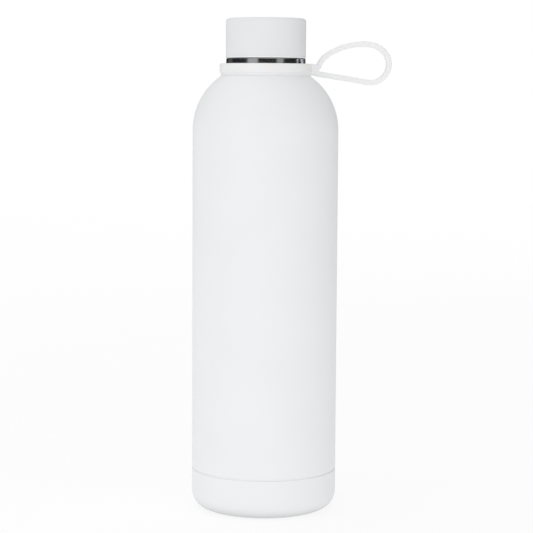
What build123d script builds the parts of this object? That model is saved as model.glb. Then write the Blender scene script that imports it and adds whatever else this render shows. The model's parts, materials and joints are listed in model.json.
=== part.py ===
from build123d import *

import math
import os

# Insulated steel water bottle with a screw lid and a silicone carrying loop.
# Millimetres, +Z up, base centre at the origin, carrying loop on +X.

# ------------------------------------------------------------------ body
body_radius = 42.0
straight_height = 220.1
shoulder_radius = 38.0
shell_wall = 0.5
base_corner_radius = 9.8
seam_height = 23.6
seam_gap = 0.9
seam_edge_radius = 0.28
spigot_height = 4.5
joggle_height = 0.8
foot_width = 2.4
base_recess = 2.2
dimple_radius = 5.0
dimple_depth = 1.0
port_radius = 0.75
bead_radius = 2.0
bead_thickness = 0.5
base_plate_thickness = 0.5
base_plate_gap = 0.6

# ------------------------------------------------------------------ liner
vacuum_gap = 2.6
liner_wall = 0.4
liner_corner_radius = 10.0
liner_floor_gap = 4.0
liner_weld_height = 18.0
liner_shoulder_step = 4.0
liner_throat_overlap = 0.02
foil_thickness = 0.05
foil_margin = 4.0
getter_radius = 4.0
getter_thickness = 2.2
getter_offset = 14.0
clip_thickness = 0.3
clip_wall_height = 1.9
clip_flange = 1.2

# ------------------------------------------------------------------ neck and thread
neck_radius = 22.8
neck_gap = 2.6
neck_depth = 13.2
lip_radius = 0.5
lip_inner_radius = 0.4
weld_below_collar_top = 0.5
throat_height = 2.2
seat_width = 0.9
thread_depth = 1.4
thread_pitch = 4.0
thread_starts = 2
ridge_root_width = 2.2
ridge_tip_width = 1.0
ridge_rise = 6.6
ridge_above_seat = 3.6
ridge_bury = 0.25

# ------------------------------------------------------------------ lid
lid_height = 22.55
lid_overhang = 0.2
lid_wall = 0.7
lid_corner_radius = 2.0
lid_edge_bevel = 0.25
lid_rim_gap = 0.2
lip_height = 0.7
lip_inset = 0.12
lip_edge_radius = 0.2
stopper_clearance = 0.5
bead_clearance = 0.2
bead_height = 0.7
bead_lead_in = 0.4
bead_back_slope = 0.2
stopper_drop = 7.9
stopper_wall = 1.2
stopper_floor = 1.8
stopper_corner_radius = 1.5
thread_radial_clearance = 0.3
flange_thickness = 1.7
skirt_wall = 1.8
closing_disc_thickness = 1.5
disc_spigot_height = 0.9
disc_spigot_clearance = 0.2
disc_rim_clearance = 0.5

# ------------------------------------------------------------------ gasket
gasket_height = 2.0
gasket_gap = 0.15
gasket_bore_clearance = 0.1
gasket_outer_clearance = 0.2
gasket_edge_radius = 0.35

# ------------------------------------------------------------------ carrying strap
collar_thickness = 3.65
collar_clearance = 0.15
collar_height = 6.82
collar_rest_gap = 0.12
collar_edge_radius = 1.1
collar_overhang = 1.0
collar_skirt_inset = 0.75
collar_relief_height = 1.5
collar_relief_slope = 0.5
band_height = 3.17
strap_width = 6.0
strand_edge_radius = 0.9
strand_root_edge = 0.9
knuckle_radius = 3.0
knuckle_clearance = 0.15
knuckle_reach = 1.7
loop_reach = 41.8
loop_strand = 3.1
loop_root_ahead = 1.8
loop_root_above = 1.73
loop_heading = 69.5
haunch_turn = 37.4
crown_turn = 34.2
far_turn = 39.4
return_turn = 147.9

# ------------------------------------------------------------------ derived heights and radii
collar_bore = neck_radius + collar_clearance
collar_outer = collar_bore + collar_thickness
seat_outer = collar_outer - collar_overhang
skirt_outer = collar_outer - collar_skirt_inset
shoulder_centre = body_radius - shoulder_radius
ledge_z = straight_height + math.sqrt(shoulder_radius**2 - (seat_outer - shoulder_centre) ** 2)
collar_z = ledge_z + collar_rest_gap
skirt_drop = math.sqrt(shoulder_radius**2 - (skirt_outer - shoulder_centre) ** 2)
skirt_z = straight_height + skirt_drop + collar_rest_gap
relief_z = skirt_z + collar_relief_height
collar_top = collar_z + collar_height
weld_z = collar_top - weld_below_collar_top
lid_z = collar_top + band_height
lid_top = lid_z + lid_height
rim_z = lid_z - lid_rim_gap
seat_z = rim_z - neck_depth

liner_radius = body_radius - shell_wall - vacuum_gap
liner_shoulder_radius = shoulder_radius - liner_shoulder_step
liner_shoulder_centre = liner_radius - liner_shoulder_radius
thread_root = neck_radius - shell_wall - neck_gap - liner_wall
thread_crest = thread_root - thread_depth
throat_radius = thread_crest - seat_width
throat_low = seat_z - liner_wall - throat_height
throat_outer = throat_radius + liner_wall
liner_shoulder_z = throat_low - math.sqrt(
    liner_shoulder_radius**2 - (throat_outer - liner_shoulder_centre) ** 2
)
liner_floor_z = base_recess + shell_wall + liner_floor_gap
thread_lead = thread_pitch * thread_starts
ridge_z = seat_z + ridge_above_seat

lid_radius = neck_radius + lid_overhang
lid_bore = lid_radius - lid_wall
lid_ceiling = lid_top - lid_wall
stopper_radius = throat_radius - stopper_clearance
stopper_bottom = seat_z - stopper_drop
stopper_bore = stopper_radius - stopper_wall
barrel_radius = thread_crest - thread_radial_clearance
barrel_tip = thread_root - thread_radial_clearance
gasket_z = seat_z + gasket_gap
barrel_z = gasket_z + gasket_height + gasket_gap
lip_radius_outer = lid_radius - lip_inset
lip_top = lid_z + lip_height
flange_top = lid_z + flange_thickness
skirt_bore = lid_bore - skirt_wall
skirt_top = lid_ceiling - closing_disc_thickness

hinge_x = collar_outer + knuckle_reach
hinge_z = collar_z + collar_height / 2
loop_start = (hinge_x + loop_root_ahead, hinge_z + loop_root_above)
haunch_radius = 0.353 * loop_reach
crown_radius = 0.917 * loop_reach
far_radius = 0.356 * loop_reach
return_radius = 0.25 * loop_reach
return_length = 0.71 * loop_reach


# ------------------------------------------------------------------ helpers
def save(shape, name, shade):
    """Write one piece under its node name."""
    solid = shape.solids()[0] if len(shape.solids()) == 1 else Compound(shape.solids())
    solid.label = name
    solid.color = Color(*shade)
    export_step(solid, "parts/" + name + ".step")


def turned(corners):
    """Solid of revolution about Z; each corner is (radius, height, corner rounding)."""
    points = [(r, z) for r, z, _ in corners]
    rounding = [f for _, _, f in corners]
    with BuildPart() as part:
        with BuildSketch(Plane.XZ):
            with BuildLine():
                FilletPolyline(*points, radius=rounding, close=True)
            make_face()
        revolve(axis=Axis.Z)
    return part.part


def bottle_form(z_low, radius, dome_radius, z_dome, z_step, neck_low, neck_high, z_high):
    """Solid bottle: straight side, round shoulder, flat step at z_step, then a neck."""
    centre = radius - dome_radius
    step_r = centre + math.sqrt(dome_radius**2 - (z_step - z_dome) ** 2)
    sweep_angle = math.degrees(math.atan2(z_step - z_dome, step_r - centre))
    with BuildPart() as part:
        with BuildSketch(Plane.XZ):
            with BuildLine():
                Polyline((0, z_high), (0, z_low), (radius, z_low), (radius, z_dome))
                JernArc((radius, z_dome), (0, 1), dome_radius, sweep_angle)
                Polyline((step_r, z_step), (neck_low, z_step), (neck_low, neck_high), (0, z_high))
            make_face()
        revolve(axis=Axis.Z)
    return part.part


def thread_ridge(root_r, tip_r, root_width, tip_width, start_angle):
    """One helical ridge standing on root_r and reaching tip_r, right-handed."""
    inward = 1 if tip_r > root_r else -1
    base_r = root_r - inward * ridge_bury
    slope = (root_width - tip_width) / abs(tip_r - root_r)
    base_width = root_width + slope * ridge_bury
    path = Helix(thread_lead, ridge_rise, root_r, center=(0, 0, ridge_z))
    with BuildSketch(Plane.XZ) as section:
        with BuildLine():
            Polyline(
                (base_r, ridge_z - base_width / 2),
                (tip_r, ridge_z - tip_width / 2),
                (tip_r, ridge_z + tip_width / 2),
                (base_r, ridge_z + base_width / 2),
                close=True,
            )
        make_face()
    ridge = sweep(section.sketch, path=path, is_frenet=True)
    return Rot(0, 0, start_angle) * ridge


# ------------------------------------------------------------------ outer shell
def make_outer_shell():
    shell_low = seam_height + seam_gap / 2
    outside = bottle_form(
        shell_low, body_radius, shoulder_radius, straight_height, ledge_z, neck_radius, weld_z, weld_z
    )
    inside = bottle_form(
        shell_low,
        body_radius - shell_wall,
        shoulder_radius - shell_wall,
        straight_height,
        ledge_z - shell_wall,
        neck_radius - shell_wall,
        weld_z,
        weld_z,
    )
    shell = outside - inside
    low_edges = shell.edges().filter_by(GeomType.CIRCLE).group_by(Axis.Z)[0]
    outer_edge = low_edges.sort_by(lambda e: e.radius)[-1]
    return fillet(outer_edge, seam_edge_radius)


def make_base_cup():
    foot_outer = body_radius - base_corner_radius
    foot_inner = foot_outer - foot_width
    rise_r = foot_inner - base_recess
    skew = shell_wall * math.tan(math.radians(22.5))
    bore = body_radius - shell_wall
    rim = seam_height - seam_gap / 2
    roof = base_recess + dimple_depth
    return turned(
        [
            (port_radius, roof, 0),
            (dimple_radius, roof, 0.3),
            (dimple_radius + dimple_depth, base_recess, 0.5),
            (rise_r, base_recess, 0.6),
            (foot_inner, 0, 1.0),
            (body_radius, 0, base_corner_radius),
            (body_radius, rim, seam_edge_radius),
            (bore, rim, 0),
            (bore, rim + spigot_height, 0),
            (bore - shell_wall, rim + spigot_height, 0.2),
            (bore - shell_wall, rim - joggle_height, 0.5),
            (bore, rim - joggle_height - shell_wall, 0.5),
            (bore, shell_wall, base_corner_radius - shell_wall),
            (foot_inner + skew, shell_wall, 0.4),
            (rise_r + skew, base_recess + shell_wall, 1.2),
            (dimple_radius + dimple_depth + skew, base_recess + shell_wall, 0.3),
            (dimple_radius + skew, roof + shell_wall, 0.5),
            (port_radius, roof + shell_wall, 0),
        ]
    )


def make_base_plate():
    plate_r = body_radius - base_corner_radius - foot_width - base_recess - base_plate_gap
    low = base_recess - base_plate_thickness
    return turned(
        [
            (0, low, 0),
            (plate_r, low, base_plate_thickness / 2),
            (plate_r, base_recess, 0),
            (0, base_recess, 0),
        ]
    )


def make_seal_bead():
    roof = base_recess + dimple_depth
    return turned(
        [
            (0, roof - bead_thickness, 0),
            (bead_radius, roof - bead_thickness, 0.3),
            (bead_radius, roof, 0),
            (port_radius, roof, 0),
            (port_radius, roof + shell_wall, 0),
            (0, roof + shell_wall, 0),
        ]
    )


# ------------------------------------------------------------------ liner
def make_inner_flask():
    outside = bottle_form(
        liner_weld_height,
        liner_radius,
        liner_shoulder_radius,
        liner_shoulder_z,
        throat_low,
        throat_outer,
        rim_z,
        rim_z,
    )
    inner_arc = liner_shoulder_radius - liner_wall
    inner_low = liner_shoulder_z + math.sqrt(
        inner_arc**2 - (throat_radius - liner_shoulder_centre) ** 2
    )
    inside = bottle_form(
        liner_weld_height,
        liner_radius - liner_wall,
        inner_arc,
        liner_shoulder_z,
        inner_low - liner_throat_overlap,
        throat_radius,
        rim_z,
        rim_z,
    )
    neck = turned(
        [
            (throat_radius, seat_z - liner_wall, 0),
            (thread_root + liner_wall, seat_z - liner_wall, 0.6),
            (thread_root + liner_wall, rim_z - shell_wall, 0),
            (neck_radius - shell_wall, rim_z - shell_wall, 0.3),
            (neck_radius - shell_wall, weld_z, 0),
            (neck_radius, weld_z, 0),
            (neck_radius, rim_z, lip_radius),
            (thread_root, rim_z, lip_inner_radius),
            (thread_root, seat_z, 0.3),
            (throat_radius, seat_z, 0.2),
        ]
    )
    throat_cap = Pos(0, 0, seat_z + neck_depth) * Cylinder(
        body_radius, 2 * neck_depth, align=(Align.CENTER, Align.CENTER, Align.CENTER)
    )
    liner = (outside - throat_cap) - inside + neck
    for start in range(thread_starts):
        angle = 360 / thread_starts * (start + 0.5)
        liner += thread_ridge(
            thread_root, thread_crest, ridge_root_width, ridge_tip_width, angle
        )
    return liner


def make_inner_base():
    return turned(
        [
            (0, liner_floor_z, 0),
            (liner_radius, liner_floor_z, liner_corner_radius),
            (liner_radius, liner_weld_height, 0),
            (liner_radius - liner_wall, liner_weld_height, 0),
            (
                liner_radius - liner_wall,
                liner_floor_z + liner_wall,
                liner_corner_radius - liner_wall,
            ),
            (0, liner_floor_z + liner_wall, 0),
        ]
    )


def make_copper_foil():
    low = liner_weld_height + foil_margin
    high = liner_shoulder_z - foil_margin
    return turned(
        [
            (liner_radius, low, 0),
            (liner_radius + foil_thickness, low, 0),
            (liner_radius + foil_thickness, high, 0),
            (liner_radius, high, 0),
        ]
    )


def make_getter_clip():
    high = liner_floor_z
    mid = high - clip_thickness
    outer = getter_radius + clip_thickness
    cup = turned(
        [
            (0, mid, 0),
            (getter_radius, mid, 0),
            (getter_radius, mid - clip_wall_height, 0),
            (outer, mid - clip_wall_height, 0),
            (outer, mid, 0),
            (outer + clip_flange, mid, 0),
            (outer + clip_flange, high, 0),
            (0, high, 0),
        ]
    )
    return Pos(getter_offset, 0, 0) * cup


def make_getter_pellet():
    high = liner_floor_z - clip_thickness
    pellet = turned(
        [
            (0, high - getter_thickness, 0),
            (getter_radius, high - getter_thickness, 0.3),
            (getter_radius, high, 0),
            (0, high, 0),
        ]
    )
    return Pos(getter_offset, 0, 0) * pellet


# ------------------------------------------------------------------ lid
def make_lid_shell():
    return turned(
        [
            (lid_radius, lip_top, lid_edge_bevel),
            (lid_radius, lid_top, lid_corner_radius),
            (0, lid_top, 0),
            (0, lid_ceiling, 0),
            (lid_bore, lid_ceiling, lid_corner_radius - lid_wall),
            (lid_bore, lip_top, 0),
        ]
    )


def make_lid_core():
    retaining_r = throat_radius - bead_clearance
    retaining_z = gasket_z - gasket_gap
    core = turned(
        [
            (0, stopper_bottom, 0),
            (stopper_radius, stopper_bottom, stopper_corner_radius),
            (stopper_radius, retaining_z - bead_height - bead_lead_in, 0),
            (retaining_r, retaining_z - bead_height, 0),
            (retaining_r, retaining_z - bead_back_slope, 0),
            (stopper_radius, retaining_z, 0),
            (stopper_radius, barrel_z, 0),
            (barrel_radius, barrel_z, 0.3),
            (barrel_radius, lid_z, 0.4),
            (lip_radius_outer, lid_z, lip_edge_radius),
            (lip_radius_outer, lip_top, 0),
            (lid_bore, lip_top, 0),
            (lid_bore, skirt_top, 0.3),
            (skirt_bore, skirt_top, 0),
            (skirt_bore, flange_top, 0.5),
            (stopper_bore, flange_top, 0.5),
            (stopper_bore, stopper_bottom + stopper_floor, 0.8),
            (0, stopper_bottom + stopper_floor, 0),
        ]
    )
    for start in range(thread_starts):
        angle = 360 / thread_starts * start
        core += thread_ridge(
            barrel_radius, barrel_tip, ridge_root_width, ridge_tip_width, angle
        )
    return core


def make_closing_disc():
    spigot_r = skirt_bore - disc_spigot_clearance
    edge = lid_corner_radius - lid_wall
    rim_r = lid_bore - disc_rim_clearance
    return turned(
        [
            (0, skirt_top - disc_spigot_height, 0),
            (spigot_r, skirt_top - disc_spigot_height, 0.3),
            (spigot_r, skirt_top, 0),
            (rim_r, skirt_top, 0),
            (rim_r, lid_ceiling, edge),
            (0, lid_ceiling, 0),
        ]
    )


def make_lid_foam():
    low = stopper_bottom + stopper_floor
    high = skirt_top - disc_spigot_height
    return turned(
        [
            (0, low, 0),
            (stopper_bore, low, 0.9),
            (stopper_bore, flange_top, 0.4),
            (skirt_bore, flange_top, 0.6),
            (skirt_bore, high, 0.5),
            (0, high, 0),
        ]
    )


def make_lid_gasket():
    inner = stopper_radius + gasket_bore_clearance
    outer = thread_crest - gasket_outer_clearance
    return turned(
        [
            (inner, gasket_z, 0),
            (outer, gasket_z, gasket_edge_radius),
            (outer, gasket_z + gasket_height, gasket_edge_radius),
            (inner, gasket_z + gasket_height, 0),
        ]
    )


# ------------------------------------------------------------------ carrying strap
def make_strap_collar():
    ring = turned(
        [
            (collar_bore, collar_z, 0.4),
            (seat_outer, collar_z, 0),
            (skirt_outer, skirt_z, 0),
            (skirt_outer, relief_z, 0.3),
            (collar_outer, relief_z + collar_relief_slope, 0.3),
            (collar_outer, collar_top, collar_edge_radius),
            (collar_bore, collar_top, 0.4),
        ]
    )
    socket = Pos(hinge_x, 0, hinge_z) * Rot(90, 0, 0) * Cylinder(
        knuckle_radius + knuckle_clearance, 2 * strap_width
    )
    return ring - socket


def strand_face_line(offset):
    """Tangent arcs and the straight return of the loop, offset from the strand's middle line."""
    heading = math.radians(loop_heading)
    point = Vector(
        loop_start[0] - offset * math.sin(heading), loop_start[1] + offset * math.cos(heading)
    )
    direction = Vector(math.cos(heading), math.sin(heading))
    edges = []
    turns = [
        (haunch_radius, haunch_turn),
        (crown_radius, crown_turn),
        (far_radius, far_turn),
        (return_radius, return_turn),
    ]
    for radius, turn in turns:
        arc = JernArc(point, direction, radius + offset, -turn)
        edges.append(arc)
        point, direction = arc @ 1, arc % 1
    edges.append(Line(point, point + direction * return_length))
    return edges


def make_strap_loop():
    half = loop_strand / 2
    with BuildPart() as strand:
        with BuildSketch(Plane.XZ):
            with BuildLine():
                outer = strand_face_line(half)
                inner = strand_face_line(-half)
                Line(outer[0] @ 0, inner[0] @ 0)
                Line(outer[-1] @ 1, inner[-1] @ 1)
            make_face()
        extrude(amount=strap_width / 2, both=True)
    start = (outer[0] @ 0 + inner[0] @ 0) / 2
    finish = (outer[-1] @ 1 + inner[-1] @ 1) / 2
    sides = strand.part.edges().group_by(Axis.Y)
    long_edges = [e for e in sides[0] + sides[-1] if e.length > 1.5 * loop_strand]
    loop = fillet(long_edges, strand_edge_radius)
    for x, z, radius in (
        (hinge_x, hinge_z, knuckle_radius),
        (start.X, start.Y, half),
        (finish.X, finish.Y, half),
    ):
        root = Cylinder(radius, strap_width)
        root = fillet(root.edges().filter_by(GeomType.CIRCLE), strand_root_edge)
        loop += Pos(x, 0, z) * Rot(90, 0, 0) * root
    return loop


# ------------------------------------------------------------------ write every piece
os.makedirs("parts", exist_ok=True)

coat_white = (0.93, 0.93, 0.93)
bare_steel = (0.72, 0.73, 0.75)
silicone_white = (0.92, 0.92, 0.91)
plastic_white = (0.90, 0.90, 0.88)
copper = (0.80, 0.45, 0.30)

save(make_outer_shell(), "outer_shell", coat_white)
save(make_base_cup(), "base_cup", coat_white)
save(make_base_plate(), "base_plate", bare_steel)
save(make_seal_bead(), "seal_bead", (0.25, 0.27, 0.25))
save(make_inner_flask(), "inner_flask", bare_steel)
save(make_inner_base(), "inner_base", bare_steel)
save(make_copper_foil(), "copper_foil", copper)
save(make_getter_clip(), "getter_clip", bare_steel)
save(make_getter_pellet(), "getter_pellet", (0.35, 0.35, 0.37))
save(make_lid_shell(), "lid_shell", coat_white)
save(make_lid_core(), "lid_core", plastic_white)
save(make_closing_disc(), "closing_disc", plastic_white)
save(make_lid_foam(), "lid_foam", (0.93, 0.88, 0.70))
save(make_lid_gasket(), "lid_gasket", silicone_white)
save(make_strap_collar(), "strap_collar", silicone_white)
save(make_strap_loop(), "strap_loop", silicone_white)
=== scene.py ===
import json
import math

import bmesh
import bpy
import numpy as np
from mathutils import Matrix, Vector


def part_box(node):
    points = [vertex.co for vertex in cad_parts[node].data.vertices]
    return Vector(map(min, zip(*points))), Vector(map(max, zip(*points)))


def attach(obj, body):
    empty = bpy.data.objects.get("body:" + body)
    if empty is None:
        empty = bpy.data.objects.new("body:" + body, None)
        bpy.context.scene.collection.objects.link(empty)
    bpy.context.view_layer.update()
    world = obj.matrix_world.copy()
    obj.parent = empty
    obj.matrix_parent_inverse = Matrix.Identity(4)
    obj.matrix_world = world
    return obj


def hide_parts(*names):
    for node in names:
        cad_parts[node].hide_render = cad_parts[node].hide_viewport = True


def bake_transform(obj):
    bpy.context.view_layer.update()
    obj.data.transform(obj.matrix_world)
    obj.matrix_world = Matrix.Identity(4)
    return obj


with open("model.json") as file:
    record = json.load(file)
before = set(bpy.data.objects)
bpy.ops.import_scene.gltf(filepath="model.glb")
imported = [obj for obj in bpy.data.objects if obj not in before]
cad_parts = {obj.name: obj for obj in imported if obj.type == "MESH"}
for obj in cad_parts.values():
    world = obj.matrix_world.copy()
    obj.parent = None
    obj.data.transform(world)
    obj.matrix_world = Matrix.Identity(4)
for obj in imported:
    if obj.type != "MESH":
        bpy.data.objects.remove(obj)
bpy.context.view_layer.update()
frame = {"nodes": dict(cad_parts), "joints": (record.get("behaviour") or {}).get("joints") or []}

# ---------------------------------------------------------------- sizes in mm, places from frame
MM = 0.001
TAU = 2 * math.pi
SEGMENTS = 288
SHARP = 32.0


def node_box(node):
    """Lowest and highest corner of a CAD node in millimetres."""
    low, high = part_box(node)
    return low / MM, high / MM


shell_low, shell_high = node_box("outer_shell")
cup_high = node_box("base_cup")[1]
liner_low, liner_high = node_box("inner_flask")
lid_low, lid_high = node_box("lid_shell")
core_low, core_high = node_box("lid_core")
gasket_low, gasket_high = node_box("lid_gasket")
collar_high = node_box("strap_collar")[1]
loop_low, loop_high = node_box("strap_loop")
joint_place = {j["name"]: Vector(j.get("pos_m", (0, 0, 0))) / MM for j in frame["joints"]}
hinge = joint_place["loop_flex"]

body_radius = shell_high.x
shell_wall = 0.5
straight_height = 220.1
shoulder_radius = 38.0
base_corner_radius = 9.8
foot_width = 2.4
base_recess = 2.2
dimple_radius = 5.0
dimple_depth = 1.0
port_radius = 0.75
seam_gap = 0.9
seam_edge_radius = 0.28
joggle_height = 0.8

liner_wall = 0.4
liner_radius = liner_high.x
liner_shoulder_radius = 34.0
neck_radius = 22.8
neck_gap = 2.6
neck_depth = 13.2
neck_foot = 0.5
rim_z = liner_high.z
lip_roll = 0.5
lip_inner_roll = 0.4
rim_straight = 0.6
seat_z = rim_z - neck_depth
seat_corner = 0.3
seat_width = 0.9
throat_height = 2.2
throat_edge = 0.2
thread_depth = 1.4
thread_lead = 8.0
thread_starts = 2
thread_root = neck_radius - shell_wall - neck_gap - liner_wall
thread_crest = thread_root - thread_depth
throat_radius = thread_crest - seat_width
throat_low = seat_z - liner_wall - throat_height
weld_z = shell_high.z
ridge_z = seat_z + 3.6
ridge_rise = 6.6
ridge_root_width = 2.2
ridge_tip_width = 1.0
ridge_fade = 0.9
ridge_reach = 1.3

lid_radius = lid_high.x
lid_wall = 0.7
lid_bore = lid_radius - lid_wall
lid_corner_radius = 2.0
lid_edge_radius = 0.12
lid_bore_bevel = 0.1
lip_height = 0.7
lip_inset = 0.05
lip_top = lid_low.z
lid_z = lip_top - lip_height
lip_radius = lid_radius - lip_inset
lid_top = lid_high.z
thread_clearance = 0.3
stopper_clearance = 0.5
stopper_wall = 1.2
stopper_floor = 1.8
skirt_wall = 1.8
flange_thickness = 1.7
bead_clearance = 0.2
bead_height = 0.7
bead_lead_in = 0.4
bead_back_slope = 0.2
gasket_gap = 0.15
gasket_bore_clearance = 0.1
gasket_bore_edge = 0.1
gasket_edge_radius = 0.35
barrel_radius = thread_crest - thread_clearance
barrel_tip = thread_root - thread_clearance
stopper_radius = throat_radius - stopper_clearance
stopper_z = core_low.z
flange_top = lid_z + flange_thickness

collar_clearance = 0.15
collar_overhang = 1.0
collar_inner_edge = 0.4
collar_top_edge = 1.1
relief_depth = 0.75
relief_height = 1.5
relief_slope = 0.5
relief_fillet = 0.4
relief_edge = 0.35
collar_outer = collar_high.y
collar_bore = neck_radius + collar_clearance
collar_top = collar_high.z
shoulder_centre = body_radius - shoulder_radius
seat_outer = collar_outer - collar_overhang
rest_gap = 0.12
skirt_gap = 0.03


def shoulder_z(r):
    """Height of the round shoulder at a radius."""
    return straight_height + math.sqrt(shoulder_radius**2 - (r - shoulder_centre) ** 2)


ledge_z = shoulder_z(seat_outer)
collar_z = ledge_z + rest_gap
strap_width = loop_high.y - loop_low.y
loop_strand = 3.1
strand_edge = 0.9
loop_reach = 41.8
loop_root_ahead = 1.8
loop_root_above = 1.73
loop_heading = 69.5
loop_arcs = ((0.353, 37.4), (0.917, 34.2), (0.356, 39.4), (0.25, 147.9))
loop_return = 0.71
return_steps = 30
arc_step = 2.0
skin_voxel = 0.26
skin_passes = 9


# ---------------------------------------------------------------- mesh helpers
def rounded(corners, step=8.0):
    """Closed outline of (radius, height, rounding) corners turned into dense points."""
    points = []
    count = len(corners)
    for i, (x, z, f) in enumerate(corners):
        here = Vector((x, z))
        before = Vector(corners[i - 1][:2]) - here
        after = Vector(corners[(i + 1) % count][:2]) - here
        if f <= 0 or before.length < 1e-6 or after.length < 1e-6:
            points.append((x, z))
            continue
        before.normalize()
        after.normalize()
        half = before.angle(after) / 2
        reach = f / math.tan(half)
        first, last = here + before * reach, here + after * reach
        centre = here + (before + after).normalized() * (f / math.sin(half))
        turn = math.pi - 2 * half
        parts = max(2, math.ceil(math.degrees(turn) / step))
        a, b = first - centre, last - centre
        for k in range(parts + 1):
            t = k / parts
            w = (math.sin((1 - t) * turn) * a + math.sin(t * turn) * b) / math.sin(turn)
            points.append(tuple(centre + w))
    return points


def arc(cx, cz, radius, start, end, count):
    """Points on an arc; angles in degrees, 0 along +radius and 90 up."""
    angles = np.radians(np.linspace(start, end, count))
    return [(cx + radius * math.cos(a), cz + radius * math.sin(a)) for a in angles]


def finish_mesh(name, verts, faces, material):
    """Weld the points, turn the faces outwards and shade smooth, but crisp past SHARP degrees."""
    mesh = bpy.data.meshes.new(name)
    mesh.from_pydata(verts, [], faces)
    bm = bmesh.new()
    bm.from_mesh(mesh)
    bmesh.ops.remove_doubles(bm, verts=bm.verts, dist=1e-6)
    bmesh.ops.recalc_face_normals(bm, faces=bm.faces)
    bm.to_mesh(mesh)
    bm.free()
    mesh.shade_smooth()
    mesh.set_sharp_from_angle(angle=math.radians(SHARP))
    mesh.materials.append(material)
    piece = bpy.data.objects.new(name, mesh)
    bpy.context.scene.collection.objects.link(piece)
    return piece


def lathe(name, outline, material, reshape=None):
    """Closed outline of (radius, height) in mm turned about Z; reshape moves radii by angle."""
    verts, faces, rings = [], [], []
    for r, z in outline:
        if r < 1e-6:
            rings.append([len(verts)] * SEGMENTS)
            verts.append((0.0, 0.0, z * MM))
            continue
        start = len(verts)
        for k in range(SEGMENTS):
            a = TAU * k / SEGMENTS
            rr = reshape(r, z, a) if reshape else r
            verts.append((rr * math.cos(a) * MM, rr * math.sin(a) * MM, z * MM))
        rings.append(list(range(start, start + SEGMENTS)))
    for i, ring in enumerate(rings):
        other = rings[(i + 1) % len(rings)]
        if ring[0] == ring[1] and other[0] == other[1]:
            continue
        for k in range(SEGMENTS):
            n = (k + 1) % SEGMENTS
            corners = [ring[k], ring[n], other[n], other[k]]
            faces.append([v for j, v in enumerate(corners) if v not in corners[:j]])
    return finish_mesh(name, verts, faces, material)


def smoothstep(t):
    t = min(1.0, max(0.0, t))
    return t * t * (3 - 2 * t)


def ridge_height(z, angle, offset):
    """0 to 1: how much of the thread ridge stands at this height and angle."""
    best = 0.0
    for start in range(thread_starts):
        base = ((angle / TAU) - (start + offset) / thread_starts) % 1.0
        for turn in (0, 1):
            travel = (base + turn) * thread_lead
            if travel > ridge_rise:
                continue
            gap = abs(z - ridge_z - travel)
            slope = (ridge_root_width - ridge_tip_width) / 2
            height = smoothstep((ridge_root_width / 2 - gap) / slope)
            fade = smoothstep(min(travel, ridge_rise - travel) / ridge_fade)
            best = max(best, height * fade)
    return best


def rows(r, z_from, z_to, pitch=0.16):
    """Closely spaced points up a straight wall, so that a thread can be raised on it."""
    count = max(2, int(abs(z_to - z_from) / pitch))
    return [(r, z_from + (z_to - z_from) * k / count) for k in range(count + 1)]


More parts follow.
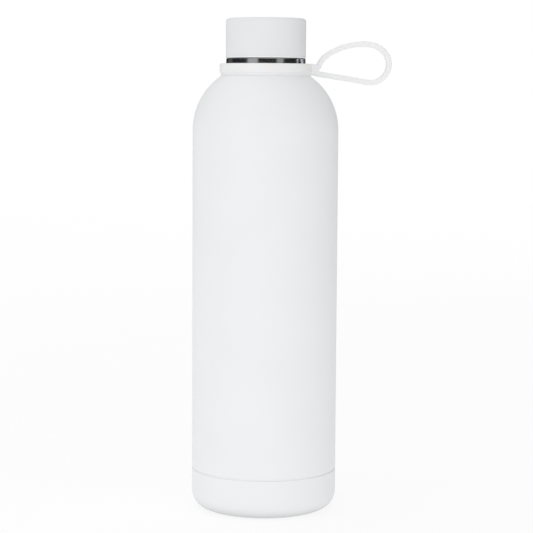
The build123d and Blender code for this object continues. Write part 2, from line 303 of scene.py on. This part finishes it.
# ---------------------------------------------------------------- materials
class Shade:
    """A Principled material with a few node shortcuts; textures run in object space, in metres."""

    def __init__(self, name, **sockets):
        self.material = bpy.data.materials.new(name)
        self.material.use_nodes = True
        self.nodes = self.material.node_tree.nodes
        self.links = self.material.node_tree.links
        self.shader = self.nodes["Principled BSDF"]
        for key, value in sockets.items():
            self.shader.inputs[key.replace("_", " ")].default_value = value
        self.place = self.nodes.new("ShaderNodeTexCoord").outputs["Object"]
        self.bumps = None

    def ring_space(self, around, along, out):
        """Coordinates that are stretched round the Z axis: (angle, radius, height)."""
        split = self.nodes.new("ShaderNodeSeparateXYZ")
        self.links.new(self.place, split.inputs[0])
        flat = self.nodes.new("ShaderNodeCombineXYZ")
        self.links.new(split.outputs["X"], flat.inputs["X"])
        self.links.new(split.outputs["Y"], flat.inputs["Y"])
        direction = self.nodes.new("ShaderNodeVectorMath")
        direction.operation = "NORMALIZE"
        self.links.new(flat.outputs[0], direction.inputs[0])
        around_node = self.nodes.new("ShaderNodeVectorMath")
        around_node.operation = "SCALE"
        around_node.inputs["Scale"].default_value = around
        self.links.new(direction.outputs[0], around_node.inputs[0])
        length = self.nodes.new("ShaderNodeVectorMath")
        length.operation = "LENGTH"
        self.links.new(flat.outputs[0], length.inputs[0])
        mix = self.nodes.new("ShaderNodeMath")
        mix.operation = "MULTIPLY"
        mix.inputs[1].default_value = out
        self.links.new(length.outputs["Value"], mix.inputs[0])
        high = self.nodes.new("ShaderNodeMath")
        high.operation = "MULTIPLY_ADD"
        high.inputs[1].default_value = along
        self.links.new(split.outputs["Z"], high.inputs[0])
        self.links.new(mix.outputs[0], high.inputs[2])
        lift = self.nodes.new("ShaderNodeCombineXYZ")
        self.links.new(high.outputs[0], lift.inputs["Z"])
        total = self.nodes.new("ShaderNodeVectorMath")
        total.operation = "ADD"
        self.links.new(around_node.outputs[0], total.inputs[0])
        self.links.new(lift.outputs[0], total.inputs[1])
        return total.outputs[0]

    def noise(self, scale, detail=2.0, rough=0.5, vector=None, distortion=0.0):
        node = self.nodes.new("ShaderNodeTexNoise")
        node.inputs["Scale"].default_value = scale
        node.inputs["Detail"].default_value = detail
        node.inputs["Roughness"].default_value = rough
        node.inputs["Distortion"].default_value = distortion
        self.links.new(vector or self.place, node.inputs["Vector"])
        return node.outputs["Fac"]

    def cells(self, scale):
        node = self.nodes.new("ShaderNodeTexVoronoi")
        node.feature = "F1"
        node.inputs["Scale"].default_value = scale
        self.links.new(self.place, node.inputs["Vector"])
        return node.outputs["Distance"]

    def span(self, value, low, high, source=(0.3, 0.7)):
        node = self.nodes.new("ShaderNodeMapRange")
        node.inputs["From Min"].default_value = source[0]
        node.inputs["From Max"].default_value = source[1]
        node.inputs["To Min"].default_value = low
        node.inputs["To Max"].default_value = high
        self.links.new(value, node.inputs["Value"])
        return node.outputs["Result"]

    def tint(self, value, dark, light):
        node = self.nodes.new("ShaderNodeMix")
        node.data_type = "RGBA"
        node.inputs["A"].default_value = (*dark, 1)
        node.inputs["B"].default_value = (*light, 1)
        self.links.new(value, node.inputs["Factor"])
        self.links.new(node.outputs["Result"], self.shader.inputs["Base Color"])

    def roughness(self, value):
        self.links.new(value, self.shader.inputs["Roughness"])

    def bump(self, value, depth_mm):
        node = self.nodes.new("ShaderNodeBump")
        node.inputs["Strength"].default_value = 1.0
        node.inputs["Distance"].default_value = depth_mm * MM
        self.links.new(value, node.inputs["Height"])
        if self.bumps:
            self.links.new(self.bumps, node.inputs["Normal"])
        self.bumps = node.outputs["Normal"]
        self.links.new(self.bumps, self.shader.inputs["Normal"])

    def edge_wear(self, value):
        """0 on flats to 1 on convex edges, for a little polish where hands and shelves rub."""
        node = self.nodes.new("ShaderNodeNewGeometry").outputs["Pointiness"]
        return self.span(node, 0.0, value, source=(0.52, 0.60))

    def added(self, a, b):
        node = self.nodes.new("ShaderNodeMath")
        node.operation = "ADD"
        self.links.new(a, node.inputs[0])
        self.links.new(b, node.inputs[1])
        return node.outputs[0]


def grey(level, cool=0.0):
    return (level * (1 - cool), level, level * (1 + cool))


def powder_coat(name, tone, cool):
    """Matte powder coat: soft orange peel, fine grain, slightly uneven gloss."""
    s = Shade(name, Specular_IOR_Level=0.32)
    s.tint(s.span(s.noise(30, 3), 0, 1), grey(tone * 0.990, cool), grey(tone * 1.008, cool))
    s.roughness(s.added(s.span(s.noise(2200, 2), 0.50, 0.62), s.edge_wear(-0.10)))
    s.bump(s.noise(620, 1.5, 0.4), 0.010)
    s.bump(s.noise(3400, 2, 0.6), 0.006)
    return s.material


def silicone(name, tone):
    """Moulded silicone rubber: satin, a little soft light inside, fine mould texture."""
    s = Shade(
        name,
        Specular_IOR_Level=0.35,
        Subsurface_Weight=0.12,
        Subsurface_Scale=0.0012,
        Sheen_Weight=0.05,
        Sheen_Roughness=0.4,
    )
    s.tint(s.span(s.noise(90, 3), 0, 1), grey(tone * 0.985, 0.003), grey(tone * 1.010, 0.003))
    s.roughness(s.span(s.noise(900, 3), 0.46, 0.60))
    s.bump(s.noise(2600, 2, 0.6), 0.008)
    s.bump(s.noise(260, 2, 0.5), 0.010)
    return s.material


def polished_steel(name):
    """Turned and polished bare steel: faint rings round the axis and light handling marks."""
    s = Shade(name, Metallic=1.0)
    rings = s.noise(1.0, 3, 0.6, s.ring_space(3.0, 5200.0, 5200.0))
    s.tint(s.span(rings, 0, 1), grey(0.56, 0.006), grey(0.66, 0.006))
    s.roughness(s.added(s.span(rings, 0.10, 0.17), s.span(s.noise(260, 4), 0.0, 0.05)))
    s.bump(rings, 0.0015)
    return s.material


def brushed_steel(name):
    """Spun brushing: fine concentric lines."""
    s = Shade(name, Metallic=1.0)
    lines = s.noise(1.0, 4, 0.7, s.ring_space(9.0, 7000.0, 7000.0))
    s.tint(s.span(lines, 0, 1), grey(0.50, 0.006), grey(0.64, 0.006))
    s.roughness(s.span(lines, 0.24, 0.38))
    s.bump(lines, 0.003)
    return s.material


def polypropylene(name, tone):
    """Injection moulded plastic: fine spark-eroded grain and a faint waviness."""
    s = Shade(name, Specular_IOR_Level=0.5, Subsurface_Weight=0.08, Subsurface_Scale=0.001)
    s.tint(s.span(s.noise(60, 3), 0, 1), grey(tone * 0.985), grey(tone * 1.01))
    s.roughness(s.span(s.noise(1500, 3), 0.34, 0.46))
    s.bump(s.noise(2400, 2, 0.6), 0.006)
    s.bump(s.noise(120, 2), 0.02)
    return s.material


def foam(name):
    """Closed-cell insulation foam."""
    s = Shade(name, Roughness=0.9, Specular_IOR_Level=0.2)
    s.tint(s.span(s.noise(300, 3), 0, 1), (0.80, 0.70, 0.44), (0.90, 0.82, 0.58))
    s.bump(s.cells(1400), 0.25)
    return s.material


def copper_foil(name):
    """Bright copper foil with slight crinkles."""
    s = Shade(name, Metallic=1.0)
    s.tint(s.span(s.noise(40, 4), 0, 1), (0.80, 0.38, 0.24), (0.92, 0.52, 0.36))
    s.roughness(s.span(s.noise(180, 4), 0.16, 0.32))
    s.bump(s.noise(140, 4, 0.6, distortion=1.5), 0.12)
    return s.material


def getter_powder(name):
    """Pressed and sintered metal powder."""
    s = Shade(name, Metallic=0.6)
    s.tint(s.span(s.noise(2500, 3), 0, 1), grey(0.10), grey(0.24))
    s.roughness(s.span(s.noise(1800, 2), 0.55, 0.8))
    s.bump(s.cells(2600), 0.06)
    return s.material


def solder_glass(name):
    """Fused dark solder glass with a few tiny bubbles."""
    s = Shade(name, Specular_IOR_Level=0.6, Coat_Weight=0.5, Coat_Roughness=0.05)
    s.tint(s.span(s.noise(900, 3), 0, 1), (0.03, 0.04, 0.03), (0.08, 0.10, 0.08))
    s.roughness(s.span(s.noise(500, 3), 0.08, 0.2))
    s.bump(s.cells(1600), 0.02)
    return s.material


coat = powder_coat("coat_white", 0.885, 0.008)
# The lid's coat is the body's coat made darker and cooler: painted shade for the lid, which gets
# less light from the floor.
shaded_lid_coat = powder_coat("coat_lid_painted_shade", 0.830, 0.018)
rubber = silicone("silicone_white", 0.89)
gasket_rubber = silicone("silicone_gasket", 0.80)
steel = polished_steel("steel_polished")
spun = brushed_steel("steel_brushed")
plastic = polypropylene("plastic_white", 0.97)
foam_cell = foam("foam_insulation")
copper = copper_foil("copper_bright")
powder = getter_powder("getter_sintered")
glass = solder_glass("glass_solder")


# ---------------------------------------------------------------- flask: shell, base, liner
def build_outer_shell():
    centre = shoulder_centre
    rise = math.degrees(math.asin((ledge_z - straight_height) / shoulder_radius))
    inner_radius = shoulder_radius - shell_wall
    inner_rise = math.degrees(math.asin((ledge_z - shell_wall - straight_height) / inner_radius))
    inner_neck = neck_radius - shell_wall
    low = shell_low.z
    edge = seam_edge_radius
    outline = arc(body_radius - edge, low + edge, edge, -90, 0, 6)
    outline += [(body_radius, z) for z in np.linspace(low + 3, straight_height - 2, 24)]
    outline += arc(centre, straight_height, shoulder_radius, 0, rise, 56)
    outline += [(neck_radius + neck_foot, ledge_z)]
    outline += [(neck_radius + 0.3 * neck_foot, ledge_z + 0.2 * neck_foot)]
    outline += [(neck_radius, ledge_z + neck_foot), (neck_radius, weld_z)]
    outline += [(inner_neck, weld_z), (inner_neck, ledge_z - shell_wall)]
    outline += arc(centre, straight_height, inner_radius, inner_rise, 0, 40)
    outline += [(body_radius - shell_wall, low)]
    return lathe("body_coated", outline, coat)


def build_base_cup():
    foot_inner = body_radius - base_corner_radius - foot_width
    rise_r = foot_inner - base_recess
    skew = shell_wall * math.tan(math.radians(22.5))
    bore = body_radius - shell_wall
    rim = shell_low.z - seam_gap
    roof = base_recess + dimple_depth
    outline = rounded(
        [
            (port_radius, roof, 0),
            (dimple_radius, roof, 0.3),
            (dimple_radius + dimple_depth, base_recess, 0.5),
            (rise_r, base_recess, 0.6),
            (foot_inner, 0, 1.0),
            (body_radius, 0, base_corner_radius),
            (body_radius, rim, seam_edge_radius),
            (bore, rim, 0),
            (bore, cup_high.z, 0),
            (bore - shell_wall, cup_high.z, 0.2),
            (bore - shell_wall, rim - joggle_height, 0.5),
            (bore, rim - joggle_height - shell_wall, 0.5),
            (bore, shell_wall, base_corner_radius - shell_wall),
            (foot_inner + skew, shell_wall, 0.4),
            (rise_r + skew, base_recess + shell_wall, 1.2),
            (dimple_radius + dimple_depth + skew, base_recess + shell_wall, 0.3),
            (dimple_radius + skew, roof + shell_wall, 0.5),
            (port_radius, roof + shell_wall, 0),
        ],
        step=4.0,
    )
    return lathe("base_coated", outline, coat)


def build_base_plate():
    low, high = node_box("base_plate")
    radius = high.x
    edge = (high.z - low.z) / 2
    outline = [(r, low.z) for r in (0, 6, 12, 18, 22)]
    outline += rounded(
        [(24, low.z, 0), (radius, low.z, edge), (radius, high.z, 0), (0, high.z, 0)]
    )
    return lathe("base_disc", outline, spun)


def build_liner():
    centre = liner_radius - liner_shoulder_radius
    outer_reach = throat_radius + liner_wall - centre
    dome_z = throat_low - math.sqrt(liner_shoulder_radius**2 - outer_reach**2)
    outer_end = math.degrees(math.acos(outer_reach / liner_shoulder_radius))
    inner_arc = liner_shoulder_radius - liner_wall
    inner_end = math.degrees(math.acos((throat_radius - centre) / inner_arc))
    neck_out = thread_root + liner_wall
    inner_neck = neck_radius - shell_wall
    roll = lip_inner_roll
    low = liner_low.z
    outline = [(liner_radius, low)] + arc(centre, dome_z, liner_shoulder_radius, 0, outer_end, 40)
    outline += [(throat_radius + liner_wall, seat_z - liner_wall), (neck_out, seat_z - liner_wall)]
    outline += [(neck_out, rim_z - shell_wall), (inner_neck, rim_z - shell_wall)]
    outline += [(inner_neck, weld_z), (neck_radius, weld_z)]
    outline += arc(neck_radius - lip_roll, rim_z - lip_roll, lip_roll, 0, 90, 14)
    outline += arc(thread_root + roll, rim_z - roll, roll, 90, 180, 8)
    outline += rows(thread_root, rim_z - rim_straight, ridge_z - ridge_reach - 0.1)
    outline += [(thread_root, seat_z + seat_corner), (thread_root - seat_corner, seat_z)]
    outline += arc(throat_radius + throat_edge, seat_z - throat_edge, throat_edge, 90, 180, 5)
    outline += arc(centre, dome_z, inner_arc, inner_end, 0, 40)
    outline += [(liner_radius - liner_wall, low)]

    def raise_thread(r, z, angle):
        if abs(r - thread_root) > 0.01 or z < ridge_z - ridge_reach or z > rim_z - rim_straight:
            return r
        return r - thread_depth * ridge_height(z, angle, 0.5)

    return lathe("liner_steel", outline, steel, reshape=raise_thread)


# ---------------------------------------------------------------- lid
def build_lid_shell():
    outline = [(lid_radius, z) for z in np.linspace(lip_top + 0.5, lid_top - 2.2, 8)]
    outline += arc(
        lid_radius - lid_corner_radius, lid_top - lid_corner_radius, lid_corner_radius, 0, 90, 20
    )
    outline += [(r, lid_top) for r in (18, 14, 10, 5)] + [(0, lid_top), (0, lid_top - lid_wall)]
    inner = lid_corner_radius - lid_wall
    outline += arc(lid_bore - inner, lid_top - lid_wall - inner, inner, 90, 0, 10)
    outline += [(lid_bore, lip_top + 0.25), (lid_bore + lid_bore_bevel, lip_top)]
    edge = lid_edge_radius
    outline += arc(lid_radius - edge, lip_top + edge, edge, -90, 0, 6)
    return lathe("lid_coated", outline, shaded_lid_coat)


def build_lid_core():
    retaining = throat_radius - bead_clearance
    groove_z = gasket_low.z - gasket_gap
    barrel_z = gasket_high.z + gasket_gap
    skirt = lid_bore - skirt_wall
    bore = stopper_radius - stopper_wall
    top = core_high.z
    join = 1.0
    lower = rounded(
        [
            (0, stopper_z, 0),
            (stopper_radius, stopper_z, 1.5),
            (stopper_radius, groove_z - bead_height - bead_lead_in, 0.2),
            (retaining, groove_z - bead_height, 0.15),
            (retaining, groove_z - bead_back_slope, 0.1),
            (stopper_radius, groove_z, 0),
            (stopper_radius, barrel_z, 0),
            (barrel_radius, barrel_z, 0.2),
            (barrel_radius, barrel_z + join, 0),
            (0, barrel_z + join, 0),
        ]
    )[:-2]
    upper = rounded(
        [
            (barrel_radius, lid_z - join, 0),
            (barrel_radius, lid_z, 0.4),
            (lip_radius, lid_z, 0.2),
            (lip_radius, lip_top, 0.05),
            (lid_bore, lip_top, 0),
            (lid_bore, top, 0.3),
            (skirt, top, 0),
            (skirt, flange_top, 0.5),
            (bore, flange_top, 0.5),
            (bore, stopper_z + stopper_floor, 0.8),
            (0, stopper_z + stopper_floor, 0),
        ]
    )
    outline = lower + rows(barrel_radius, ridge_z - 1.25, lid_z - join - 0.1) + upper

    def raise_thread(r, z, angle):
        if abs(r - barrel_radius) > 0.01 or z < ridge_z - ridge_reach or z > lid_z - join - 0.05:
            return r
        return r + (barrel_tip - barrel_radius) * ridge_height(z, angle, 0.0)

    return lathe("lid_stopper", outline, plastic, reshape=raise_thread)


def build_gasket():
    inner = stopper_radius + gasket_bore_clearance
    outer = gasket_high.x
    outline = rounded(
        [
            (inner, gasket_low.z, gasket_bore_edge),
            (outer, gasket_low.z, gasket_edge_radius),
            (outer, gasket_high.z, gasket_edge_radius),
            (inner, gasket_high.z, gasket_bore_edge),
        ]
    )
    return lathe("lid_seal_ring", outline, gasket_rubber)


# ---------------------------------------------------------------- strap: collar and loop in one
def strand_line():
    """Middle line of the loop: points and headings in the XZ plane, from the root over the top."""
    heading = math.radians(loop_heading)
    point = Vector((hinge.x + loop_root_ahead, hinge.z + loop_root_above))
    line = []
    for share, turn in loop_arcs:
        radius = share * loop_reach
        centre = point + radius * Vector((math.sin(heading), -math.cos(heading)))
        parts = math.ceil(turn / arc_step)
        for k in range(parts):
            h = heading - math.radians(turn) * k / parts
            line.append((centre + radius * Vector((-math.sin(h), math.cos(h))), h))
        heading -= math.radians(turn)
        point = centre + radius * Vector((-math.sin(heading), math.cos(heading)))
    run = Vector((math.cos(heading), math.sin(heading))) * loop_return * loop_reach
    for k in range(return_steps + 1):
        line.append((point + run * k / return_steps, heading))
    return line


def strand_section():
    """Rounded band section: (across the width, out from the middle line)."""
    half_w, half_t = strap_width / 2, loop_strand / 2
    corners = ((-half_w, -half_t), (half_w, -half_t), (half_w, half_t), (-half_w, half_t))
    return rounded([(y, out, strand_edge) for y, out in corners], step=15.0)


def tube_along(line, section):
    """Closed tube: the section carried along the line, capped at both ends."""
    verts, faces = [], []
    count = len(section)
    for point, heading in line:
        normal = Vector((-math.sin(heading), math.cos(heading)))
        for y, out in section:
            at = point + normal * out
            verts.append((at.x * MM, y * MM, at.y * MM))
    for i in range(len(line) - 1):
        for k in range(count):
            n = (k + 1) % count
            a, b = i * count, (i + 1) * count
            faces.append([a + k, a + n, b + n, b + k])
    faces.append(list(range(count)))
    last = (len(line) - 1) * count
    faces.append(list(range(last, last + count)))
    return verts, faces


def y_disc(x, z, radius, parts=48):
    """Closed round pad as wide as the strap, its axis along Y, its rim rounded."""
    half = strap_width / 2
    edge = strand_edge
    corners = [(0, -half, 0), (radius, -half, edge), (radius, half, edge), (0, half, 0)]
    profile = rounded(corners, step=15.0)
    verts, faces, rings = [], [], []
    for r, y in profile:
        if r < 1e-6:
            rings.append([len(verts)] * parts)
            verts.append((x * MM, y * MM, z * MM))
            continue
        rings.append(list(range(len(verts), len(verts) + parts)))
        for k in range(parts):
            a = TAU * k / parts
            verts.append(((x + r * math.cos(a)) * MM, y * MM, (z + r * math.sin(a)) * MM))
    for ring, other in zip(rings, rings[1:]):
        for k in range(parts):
            n = (k + 1) % parts
            corners = [ring[k], ring[n], other[n], other[k]]
            faces.append([v for j, v in enumerate(corners) if v not in corners[:j]])
    return verts, faces


def build_strap():
    """Collar, root and loop joined into one skin by a fine remesh, then relaxed like a moulding."""
    skirt = collar_outer - relief_depth
    skirt_z = shoulder_z(skirt)
    relief_top = skirt_z + relief_height
    ring_outline = rounded(
        [
            (collar_bore, collar_z, collar_inner_edge),
            (seat_outer, collar_z - 0.05, 0),
            (skirt, skirt_z - 0.5, 0),
            (skirt, relief_top, relief_fillet),
            (collar_outer, relief_top + relief_slope, relief_edge),
            (collar_outer, collar_top, collar_top_edge),
            (collar_bore, collar_top, collar_inner_edge),
        ]
    )
    ring = lathe("strap_silicone", ring_outline, rubber)
    line = strand_line()
    first, last = line[0][0], line[-1][0]
    root_pads = (
        (hinge.x, hinge.z, 2.2),
        (first.x, first.y, loop_strand / 2),
        (last.x, last.y, loop_strand / 2),
        (hinge.x - 1.4, hinge.z + 0.1, 3.3),
        (collar_outer - 1.2, hinge.z, 3.2),
    )
    pads = [tube_along(line, strand_section())] + [y_disc(*pad) for pad in root_pads]
    parts = [ring]
    for i, (verts, faces) in enumerate(pads):
        parts.append(finish_mesh(f"strap_part_{i}", verts, faces, rubber))
    with bpy.context.temp_override(
        active_object=ring, selected_editable_objects=parts, object=ring
    ):
        bpy.ops.object.join()
    remesh = ring.modifiers.new("skin", "REMESH")
    remesh.mode = "VOXEL"
    remesh.voxel_size = skin_voxel * MM
    relax = ring.modifiers.new("relax", "SMOOTH")
    relax.factor = 0.5
    relax.iterations = skin_passes
    graph = bpy.context.evaluated_depsgraph_get()
    skin = bpy.data.meshes.new_from_object(ring.evaluated_get(graph))
    ring.modifiers.clear()
    ring.data = skin
    bm = bmesh.new()
    bm.from_mesh(skin)
    for v in bm.verts:
        r = math.hypot(v.co.x, v.co.y) / MM
        if r < collar_bore:
            v.co.x *= collar_bore / r
            v.co.y *= collar_bore / r
        if r < collar_outer + 1.0:
            v.co.z = max(v.co.z, (shoulder_z(max(r, seat_outer)) + skirt_gap) * MM)
    bmesh.ops.recalc_face_normals(bm, faces=bm.faces)
    bm.to_mesh(skin)
    bm.free()
    skin.materials.clear()
    skin.materials.append(rubber)
    skin.shade_smooth()
    return ring


# ---------------------------------------------------------------- put the pieces on their bodies
def stand_for(piece, body, slot, *nodes):
    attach(piece, body)
    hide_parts(*nodes)


stand_for(build_outer_shell(), "flask", "coat", "outer_shell")
stand_for(build_base_cup(), "flask", "coat", "base_cup")
stand_for(build_base_plate(), "flask", "brushed", "base_plate")
stand_for(build_liner(), "flask", "polished", "inner_flask")
stand_for(build_lid_shell(), "lid", "coat", "lid_shell")
stand_for(build_lid_core(), "lid", "plastic", "lid_core")
stand_for(build_gasket(), "lid_seal", "gasket", "lid_gasket")

strap = build_strap()
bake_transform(strap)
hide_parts("strap_collar", "strap_loop")

kept_nodes = {
    "inner_base": steel,
    "copper_foil": copper,
    "getter_clip": steel,
    "getter_pellet": powder,
    "seal_bead": glass,
    "closing_disc": plastic,
    "lid_foam": foam_cell,
}
for node, material in kept_nodes.items():
    slots = frame["nodes"][node].data.materials
    if not slots:
        slots.append(material)
    for i in range(len(slots)):
        slots[i] = material


# ---------------------------------------------------------------- stage, light, camera
def stage_material(name, glow, diffuse=0.0):
    """White light of a given strength, with some plain diffuse white if asked."""
    material = bpy.data.materials.new(name)
    material.use_nodes = True
    shader = material.node_tree.nodes["Principled BSDF"]
    shader.inputs["Base Color"].default_value = (diffuse, diffuse, diffuse, 1)
    shader.inputs["Roughness"].default_value = 1.0
    shader.inputs["Specular IOR Level"].default_value = 0.0
    shader.inputs["Emission Color"].default_value = (1, 1, 1, 1)
    shader.inputs["Emission Strength"].default_value = glow
    return material


def stage_panel(name, verts, faces, material, visible):
    """A stage mesh; visible switches rays on or off by name."""
    mesh = bpy.data.meshes.new(name)
    mesh.from_pydata(verts, [], faces)
    mesh.materials.append(material)
    panel = bpy.data.objects.new(name, mesh)
    bpy.context.scene.collection.objects.link(panel)
    for ray, on in visible.items():
        setattr(panel, "visible_" + ray, on)


def stage_sheet(name, z, material, **visible):
    """A flat square sheet, level, at a height in metres."""
    half = 6.0
    corners = [(-half, -half, z), (half, -half, z), (half, half, z), (-half, half, z)]
    stage_panel(name, corners, [[0, 1, 2, 3]], material, visible)


def stage_wall(name, azimuth, width, distance, heights, material, visible):
    """An upright curved strip round the object; azimuth 0 is the camera side, + to its right."""
    steps = max(1, math.ceil(width / 4))
    verts, faces = [], []
    for k in range(steps + 1):
        a = math.radians(azimuth - width / 2 + width * k / steps)
        x, y = distance * math.sin(a), -distance * math.cos(a)
        verts += [(x, y, z) for z in heights]
    for k in range(steps):
        faces.append([2 * k, 2 * k + 2, 2 * k + 3, 2 * k + 1])
    stage_panel(name, verts, faces, material, visible)


# The floor that is seen, and under it the one that lights the bottle; that one glows dimmer round
# where the bottle stands, a painted contact shadow.
stage_sheet("floor", 0, stage_material("floor_pale", 0.80, 0.20), diffuse=False, shadow=False)
# Painted contact shadow: the lighting sheet glows less within a few centimetres of the bottle's
# axis than further out.
painted_shadow_glow, bounce_far = 0.60, 0.98
painted_shadow_start, painted_shadow_end = 0.040, 0.050
bounce = stage_material("floor_bounce_painted_shadow", bounce_far)
nodes, links = bounce.node_tree.nodes, bounce.node_tree.links
place = nodes.new("ShaderNodeTexCoord")
away = nodes.new("ShaderNodeVectorMath")
away.operation = "LENGTH"
painted_shadow_ramp = nodes.new("ShaderNodeMapRange")
painted_shadow_ramp.inputs["From Min"].default_value = painted_shadow_start
painted_shadow_ramp.inputs["From Max"].default_value = painted_shadow_end
painted_shadow_ramp.inputs["To Min"].default_value = painted_shadow_glow
painted_shadow_ramp.inputs["To Max"].default_value = bounce_far
links.new(place.outputs["Object"], away.inputs[0])
links.new(away.outputs["Value"], painted_shadow_ramp.inputs["Value"])
links.new(painted_shadow_ramp.outputs[0], nodes["Principled BSDF"].inputs["Emission Strength"])
stage_sheet("floor_bounce_painted_shadow", -0.0005, bounce, camera=False)

# Strips that only the steel and the coat's gloss see: a dark room with soft light panels.
only_gloss = dict(camera=False, diffuse=False, glossy=True, transmission=False, shadow=False)
dark_wall = stage_material("studio_dark", 0.012)
strip_light = stage_material("studio_strip", 0.54)
strip_dim = stage_material("studio_strip_dim", 0.42)
strip_faint = stage_material("studio_strip_faint", 0.10)
stage_wall("gloss_dark", 0, 360, 2.6, (-0.6, 3.0), dark_wall, only_gloss)
for side, azimuth, width, light in (
    ("left", -38.5, 31, strip_light),
    ("right", 42, 20, strip_dim),
    ("back_left", -128, 26, strip_faint),
    ("back_right", 150, 22, strip_faint),
    ("back", 180, 18, strip_light),
):
    stage_wall("gloss_" + side, azimuth, width, 2.4, (-0.4, 1.8), light, only_gloss)

# Grey flags that shade the sides a little.
only_shade = dict(camera=False, diffuse=True, glossy=False, transmission=False, shadow=True)
flag_dark = stage_material("studio_flag", 0.30)
stage_wall("flag_right", 106, 74, 1.5, (0.02, 2.5), flag_dark, only_shade)
stage_wall("flag_left", -106, 26, 1.5, (0.0, 0.8), flag_dark, only_shade)

world = bpy.data.worlds.new("studio")
world.use_nodes = True
background = world.node_tree.nodes["Background"]
background.inputs["Color"].default_value = (1, 1, 1, 1)
background.inputs["Strength"].default_value = 1.0
bpy.context.scene.world = world

camera_data = bpy.data.cameras.new("camera")
camera_data.sensor_width = 36.0
camera_data.lens = 119.75
camera_data.clip_end = 50.0
camera_distance, camera_height = 1.026, 0.2429
camera = bpy.data.objects.new("camera", camera_data)
bpy.context.scene.collection.objects.link(camera)
camera.location = (0.0, -camera_distance, camera_height)
pitch_down = math.radians(5.665)
roll = math.radians(0.331)
yaw = math.radians(0.058)
camera.matrix_world = (
    Matrix.Translation(camera.location)
    @ Matrix.Rotation(-yaw, 4, "Z")
    @ Matrix.Rotation(math.pi / 2 - pitch_down, 4, "X")
    @ Matrix.Rotation(roll, 4, "Z")
)
bpy.context.scene.camera = camera
bpy.context.scene.view_settings.view_transform = "Standard"
bpy.context.scene.view_settings.look = "None"
